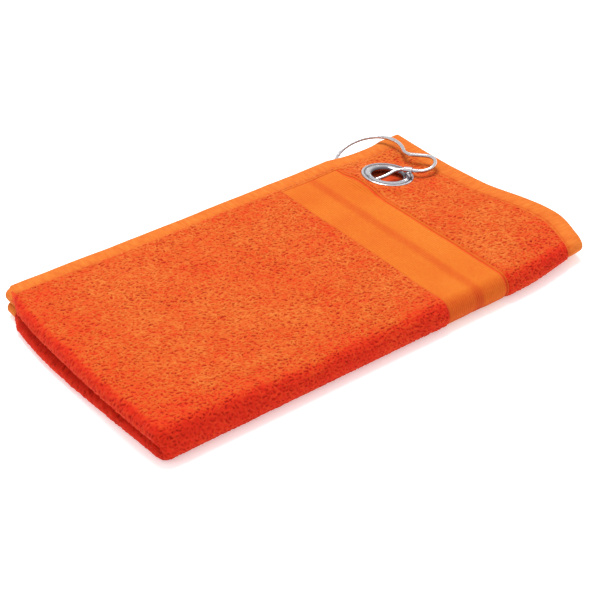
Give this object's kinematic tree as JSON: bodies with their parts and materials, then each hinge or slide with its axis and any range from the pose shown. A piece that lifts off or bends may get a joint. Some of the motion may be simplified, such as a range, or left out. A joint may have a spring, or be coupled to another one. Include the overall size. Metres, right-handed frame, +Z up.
{
  "type": "golf towel",
  "caption": "Terry golf towel folded in quarters, with a flat woven border, hems, a metal eyelet and a sprung wire hook.",
  "frame": {"origin": "centre of the folded towel's underside, on the surface that it lies on", "axes": "+X along the folded length to the short hemmed edge with the eyelet, +Y across to the long hems, with the long fold at -Y, +Z up"},
  "size_m": [0.25, 0.158, 0.0213],
  "materials": {
    "terry_cloth": "matte",
    "flat_woven_cloth": "matte",
    "hem_cloth": "matte",
    "sewing_thread": "satin",
    "eyelet_metal": "polished",
    "hook_metal": "polished"
  },
  "bodies": {
    "lower_half": {"outer_terry_lower": "terry_cloth", "inner_terry_lower": "terry_cloth", "end_fold_lower": "terry_cloth", "outer_border_lower": "flat_woven_cloth", "inner_border_lower": "flat_woven_cloth", "outer_strip_lower": "terry_cloth", "inner_strip_lower": "terry_cloth", "outer_end_hem_lower": "hem_cloth", "inner_end_hem_lower": "hem_cloth", "side_hem_lower": "hem_cloth", "side_stitching_lower": "sewing_thread", "end_stitching_lower": "sewing_thread"},
    "upper_half": {"outer_terry_upper": "terry_cloth", "inner_terry_upper": "terry_cloth", "end_fold_upper": "terry_cloth", "outer_border_upper": "flat_woven_cloth", "inner_border_upper": "flat_woven_cloth", "eyelet_strip_upper": "terry_cloth", "inner_strip_upper": "terry_cloth", "outer_end_hem_upper": "hem_cloth", "inner_end_hem_upper": "hem_cloth", "side_hem_upper": "hem_cloth", "side_stitching_upper": "sewing_thread", "end_stitching_upper": "sewing_thread", "eyelet": "eyelet_metal", "eyelet_washer": "eyelet_metal"},
    "hook": {"hook_wire": "hook_metal", "hook_catch": "hook_metal"},
    "gate": {"hook_gate": "hook_metal"}
  },
  "joints": [
    {"name": "long_fold", "type": "hinge", "parent": "lower_half", "child": "upper_half", "pos_m": [0, -0.075, 0.00815], "axis": [1, 0, 0], "range_deg": [0, 180]},
    {"name": "hook_swivel", "type": "hinge", "parent": "upper_half", "child": "hook", "pos_m": [0.0908, 0.0422, 0.0146], "axis": [0, 0, 1], "range_deg": [-6, 13]},
    {"name": "gate_spring", "type": "hinge", "parent": "hook", "child": "gate", "pos_m": [0.08505, 0.07929, 0.01288], "axis": [-0.225, 0, 0.9744], "range_deg": [0, 7], "stiffness_Nm_per_rad": 0.2, "springref_deg": -2.86}
  ]
}
